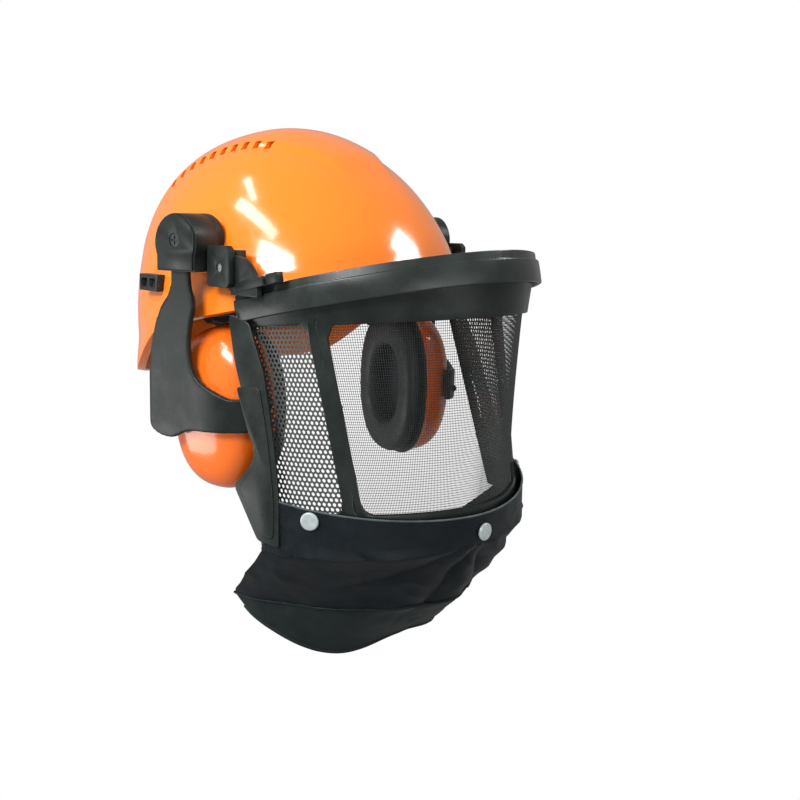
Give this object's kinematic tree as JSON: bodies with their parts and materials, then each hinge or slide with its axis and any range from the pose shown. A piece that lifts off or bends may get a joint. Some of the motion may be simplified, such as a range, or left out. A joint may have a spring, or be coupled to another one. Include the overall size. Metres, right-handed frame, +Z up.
{
  "type": "forestry helmet",
  "caption": "Hard safety helmet with swivelling ear defenders, a lift-up mesh visor and a press-stud fabric chin guard, carried on an adjustable headband and webbing cradle.",
  "frame": {"origin": "middle of the headband's lower edge, where the helmet sits on the head", "axes": "+Z up, -Y the way the wearer faces, -X the wearer's right"},
  "size_m": [0.26, 0.3446, 0.3591],
  "materials": {
    "shell_plastic": "glossy moulded",
    "headgear_plastic": "fine grain",
    "sweatband": "brushed foam-backed",
    "webbing": "woven",
    "dark_plastic": "fine grain",
    "black_plastic": "satin",
    "steel": "satin",
    "brow_plastic": "satin",
    "visor_plastic": "fine grain",
    "mesh_metal": "satin",
    "snap_cap": "satin",
    "guard_fabric": "coated woven",
    "guard_lining": "woven",
    "cup_plastic": "glossy moulded",
    "foam": "open-cell foam",
    "cushion_skin": "soft matt vinyl"
  },
  "bodies": {
    "frame": {"shell": "shell_plastic", "headband": "headgear_plastic", "sweatband": "sweatband", "crown_strap_middle": "webbing", "crown_strap_right": "webbing", "crown_strap_left": "webbing", "cradle_clips": "headgear_plastic", "strap_guides": "headgear_plastic", "chin_strap_lug_right": "headgear_plastic", "chin_strap_lug_left": "headgear_plastic", "strap_clip_right": "black_plastic", "strap_clip_left": "black_plastic", "slot_adapter_right": "dark_plastic", "slot_adapter_left": "dark_plastic", "visor_bracket_right": "dark_plastic", "visor_bracket_left": "dark_plastic", "visor_pivot_pins": "steel", "swivel_bolt_right": "steel", "swivel_bolt_left": "steel"},
    "nape_unit": {"nape_strap": "headgear_plastic", "ratchet_housing": "headgear_plastic", "nape_pad": "sweatband"},
    "knob": {"ratchet_knob": "dark_plastic", "ratchet_axle": "steel"},
    "visor": {"visor_arm_right": "dark_plastic", "visor_arm_left": "dark_plastic", "brow_band": "brow_plastic", "visor_frame": "visor_plastic", "side_plate_right": "visor_plastic", "side_plate_left": "visor_plastic", "front_mesh": "mesh_metal", "side_mesh_right": "mesh_metal", "side_mesh_left": "mesh_metal", "visor_rivets": "steel", "snap_sockets": "steel", "snap_studs": "snap_cap", "chin_guard_upper": "guard_fabric", "chin_guard_lower": "guard_lining"},
    "swivel_right": {"muff_housing_right": "dark_plastic", "cover_screw_right": "steel", "flip_pin_right": "steel", "flip_spring_right": "steel"},
    "carrier_right": {"arm_carrier_right": "black_plastic"},
    "arm_right": {"muff_arm_right": "dark_plastic"},
    "ear_cup_right": {"cup_right": "cup_plastic", "cup_pins_right": "black_plastic", "cup_plate_right": "black_plastic", "foam_liner_right": "foam", "cushion_right": "cushion_skin"},
    "swivel_left": {"muff_housing_left": "dark_plastic", "cover_screw_left": "steel", "flip_pin_left": "steel", "flip_spring_left": "steel"},
    "carrier_left": {"arm_carrier_left": "black_plastic"},
    "arm_left": {"muff_arm_left": "dark_plastic"},
    "ear_cup_left": {"cup_left": "cup_plastic", "cup_pins_left": "black_plastic", "cup_plate_left": "black_plastic", "foam_liner_left": "foam", "cushion_left": "cushion_skin"}
  },
  "joints": [
    {"name": "visor_lift", "type": "hinge", "parent": "frame", "child": "visor", "pos_m": [0, -0.056, 0.026], "axis": [-1, 0, 0], "range_deg": [0, 95]},
    {"name": "nape_adjust", "type": "slide", "parent": "frame", "child": "nape_unit", "axis": [0, -0.9511, 0.309], "range_m": [0, 0.012]},
    {"name": "ratchet_turn", "type": "hinge", "parent": "nape_unit", "child": "knob", "pos_m": [0, 0.10687, -0.01344], "axis": [0, 0.9511, -0.309], "range_deg": [0, 130]},
    {"name": "muff_swivel_right", "type": "hinge", "parent": "frame", "child": "swivel_right", "pos_m": [-0.092, -0.017, 0.0428], "axis": [-0.9781, -0.2079, 0], "range_deg": [-8, 0]},
    {"name": "muff_flip_right", "type": "hinge", "parent": "swivel_right", "child": "carrier_right", "pos_m": [-0.11939, -0.02282, 0.027], "axis": [-0.2079, 0.9781, 0], "range_deg": [0, 3.5], "stiffness_Nm_per_rad": 0.8, "springref_deg": -20.05},
    {"name": "muff_height_right", "type": "slide", "parent": "carrier_right", "child": "arm_right", "axis": [0, 0, 1], "range_m": [-0.014, 0.004]},
    {"name": "cup_tilt_right", "type": "hinge", "parent": "arm_right", "child": "ear_cup_right", "pos_m": [-0.10569, -0.01991, -0.072], "axis": [0.2079, -0.9781, 0], "range_deg": [-3, 3]},
    {"name": "muff_swivel_left", "type": "hinge", "parent": "frame", "child": "swivel_left", "pos_m": [0.092, -0.017, 0.0428], "axis": [-0.9781, 0.2079, 0], "range_deg": [-8, 0]},
    {"name": "muff_flip_left", "type": "hinge", "parent": "swivel_left", "child": "carrier_left", "pos_m": [0.11939, -0.02282, 0.027], "axis": [-0.2079, -0.9781, 0], "range_deg": [0, 3.5], "stiffness_Nm_per_rad": 0.8, "springref_deg": -20.05},
    {"name": "muff_height_left", "type": "slide", "parent": "carrier_left", "child": "arm_left", "axis": [0, 0, 1], "range_m": [-0.014, 0.004]},
    {"name": "cup_tilt_left", "type": "hinge", "parent": "arm_left", "child": "ear_cup_left", "pos_m": [0.10569, -0.01991, -0.072], "axis": [0.2079, 0.9781, 0], "range_deg": [-3, 3]}
  ],
  "couplings": [
    {"joint": "ratchet_turn", "follows": "nape_adjust", "rad_per_m": 180}
  ]
}
